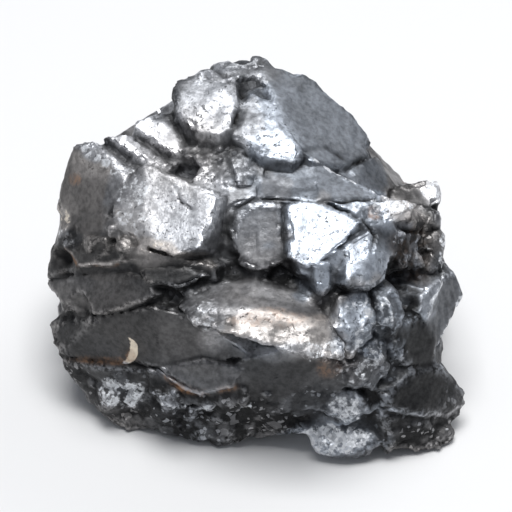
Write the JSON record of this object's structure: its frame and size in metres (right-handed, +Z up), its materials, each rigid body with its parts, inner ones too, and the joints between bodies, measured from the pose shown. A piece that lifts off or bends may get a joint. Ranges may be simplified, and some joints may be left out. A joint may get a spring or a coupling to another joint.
{
  "type": "raw shungite stone",
  "caption": "Palm-sized lump of raw silvery black shungite with broken, shell-like and crumbly faces, resting on a flat underside.",
  "frame": {"origin": "on the ground, under the middle of the stone's box", "axes": "+Z up, the broken face looks towards -Y, the longest side runs along X"},
  "size_m": [0.0494, 0.0414, 0.0356],
  "materials": {
    "silvery_shungite": "broken faces, bright where smooth and dull where crumbly"
  },
  "bodies": {
    "root": {"shungite_stone": "silvery_shungite"}
  },
  "joints": []
}
